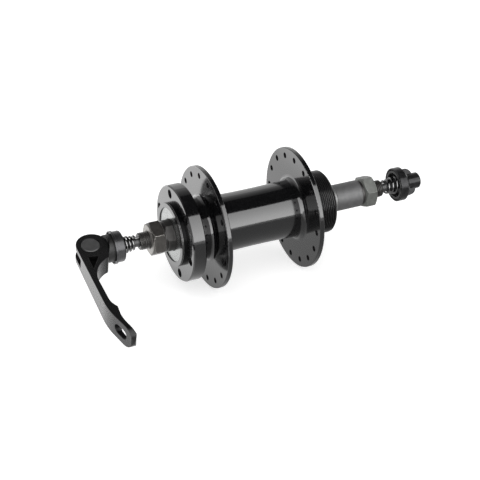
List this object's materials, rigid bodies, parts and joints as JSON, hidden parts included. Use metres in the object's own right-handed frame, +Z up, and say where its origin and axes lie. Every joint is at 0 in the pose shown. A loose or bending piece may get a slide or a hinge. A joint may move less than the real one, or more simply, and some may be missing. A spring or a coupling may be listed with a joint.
{
  "type": "bicycle rear hub",
  "caption": "Rear bicycle hub on a hollow axle, with a brake rotor flange, two spoke flanges, a freewheel thread and a quick-release skewer.",
  "frame": {"origin": "on the axle's axis, midway between the two locknut faces that the frame's dropouts meet", "axes": "+Y along the axle towards the brake rotor and the lever, +Z up, +X completing the right-handed set"},
  "size_m": [0.1008, 0.2055, 0.0674],
  "materials": {
    "gloss_black": "aluminium, black anodised to a deep gloss",
    "dark_steel": "dark oiled steel, worn bright on the corners",
    "spring_steel": "dark drawn wire",
    "grey_steel": "satin zinc-plated steel",
    "bright_steel": "bright polished steel",
    "rod_steel": "satin steel",
    "satin_dark_metal": "satin dark plated metal",
    "black_plastic": "black moulded plastic"
  },
  "bodies": {
    "axle_assembly": {"axle": "dark_steel", "rotor_side_locknut": "dark_steel", "rotor_side_lock_washer": "dark_steel", "rotor_side_cone": "dark_steel", "drive_side_cone": "dark_steel", "drive_side_inner_washer": "bright_steel", "drive_side_spacer": "grey_steel", "drive_side_outer_washer": "grey_steel", "drive_side_locknut": "grey_steel"},
    "hub": {"hub_shell": "gloss_black", "rotor_side_bearing_cup": "bright_steel", "drive_side_bearing_cup": "bright_steel", "rotor_side_dust_cap": "bright_steel", "drive_side_dust_cap": "bright_steel"},
    "rotor_side_ball_set": {"rotor_side_bearing_balls": "bright_steel"},
    "drive_side_ball_set": {"drive_side_bearing_balls": "bright_steel"},
    "rotor_side_spring_turns": {"rotor_side_spring": "spring_steel"},
    "skewer": {"skewer_rod": "rod_steel", "lever_pivot_pin": "rod_steel"},
    "lever": {"cam_lever": "gloss_black"},
    "clamp": {"clamp_cap": "satin_dark_metal", "cam_saddle": "black_plastic"},
    "drive_side_spring_turns": {"drive_side_spring": "spring_steel"},
    "nut": {"skewer_nut": "satin_dark_metal", "skewer_nut_ring": "bright_steel"}
  },
  "joints": [
    {"name": "hub_spin", "type": "hinge", "parent": "axle_assembly", "child": "hub", "pos_m": [0, 0, 0], "axis": [0, 1, 0], "continuous": true},
    {"name": "rotor_side_ball_orbit", "type": "hinge", "parent": "axle_assembly", "child": "rotor_side_ball_set", "pos_m": [0, 0, 0], "axis": [0, 1, 0], "continuous": true},
    {"name": "drive_side_ball_orbit", "type": "hinge", "parent": "axle_assembly", "child": "drive_side_ball_set", "pos_m": [0, 0, 0], "axis": [0, 1, 0], "continuous": true},
    {"name": "skewer_slide", "type": "slide", "parent": "axle_assembly", "child": "rotor_side_spring_turns", "axis": [0, 1, 0], "range_m": [-0.005, 0.005], "stiffness_N_per_m": 300, "deforming": ["rotor_side_spring", "drive_side_spring"]},
    {"name": "skewer_turn", "type": "hinge", "parent": "rotor_side_spring_turns", "child": "skewer", "pos_m": [0, 0, 0], "axis": [0, 1, 0], "continuous": true},
    {"name": "lever_flip", "type": "hinge", "parent": "skewer", "child": "lever", "pos_m": [0, 0.0998, 0], "axis": [0.2164, 0, -0.9763], "range_deg": [0, 165]},
    {"name": "clamp_travel", "type": "slide", "parent": "skewer", "child": "clamp", "axis": [0, 1, 0], "range_m": [0, 0.00166], "deforming": ["rotor_side_spring"]},
    {"name": "nut_travel", "type": "slide", "parent": "skewer", "child": "drive_side_spring_turns", "axis": [0, 1, 0], "range_m": [-0.004, 0.004], "deforming": ["drive_side_spring"]},
    {"name": "nut_turn", "type": "hinge", "parent": "drive_side_spring_turns", "child": "nut", "pos_m": [0, -0.09, 0], "axis": [0, 1, 0], "range_deg": [-1800, 1800]}
  ],
  "couplings": [
    {"joint": "rotor_side_ball_orbit", "follows": "hub_spin", "ratio": 0.61454},
    {"joint": "drive_side_ball_orbit", "follows": "hub_spin", "ratio": 0.61454},
    {"joint": "clamp_travel", "follows": "lever_flip", "m_per_rad": 0.00057296},
    {"joint": "nut_travel", "follows": "nut_turn", "m_per_rad": 0.00012732}
  ]
}
